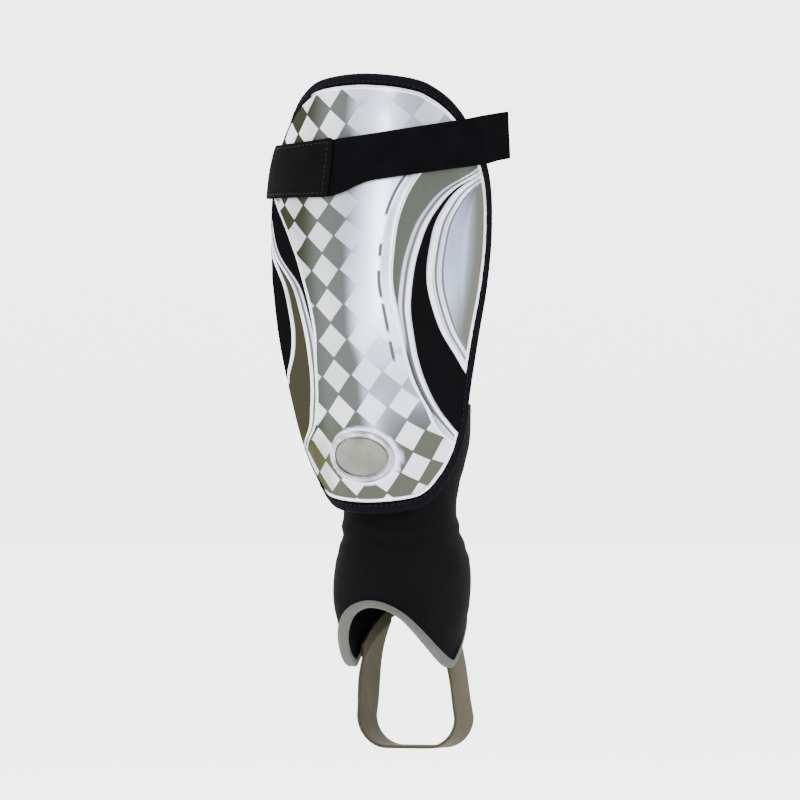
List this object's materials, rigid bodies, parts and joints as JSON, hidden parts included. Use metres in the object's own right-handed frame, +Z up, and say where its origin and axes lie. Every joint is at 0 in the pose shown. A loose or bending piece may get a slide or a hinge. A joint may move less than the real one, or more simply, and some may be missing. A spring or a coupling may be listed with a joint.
{
  "type": "shin guard with ankle sleeve",
  "caption": "Curved hard-shell shin guard on a foam pad, with a calf strap, a stretch ankle sleeve and a strap under the foot, in its worn form.",
  "frame": {"origin": "on the axis of the leg that the guard is worn on, at half the height of the pad", "axes": "+Z up the leg, -Y is the front of the shin, +X is the wearer's left"},
  "size_m": [0.1343, 0.1323, 0.3722],
  "materials": {
    "shell": "silver print under a gloss coat, with a grey and white check",
    "badge_ring": "metallised plastic",
    "badge_plate": "satin, slightly domed",
    "pad": "black cloth over closed-cell foam",
    "edge_tape": "dark navy bias tape",
    "strap": "black ribbed elastic",
    "tab": "black hook-and-loop tape",
    "sleeve": "black cloth-faced neoprene",
    "hem_tape": "grey elastic tape",
    "stirrup": "grey elastic"
  },
  "bodies": {
    "root": {"shell": "shell", "badge_ring": "badge_ring", "badge_plate": "badge_plate", "foam_pad": "pad", "edge_binding": "edge_tape", "calf_strap": "strap", "strap_tab": "tab", "ankle_sleeve": "sleeve", "hem_binding": "hem_tape", "stirrup": "stirrup"}
  },
  "joints": []
}
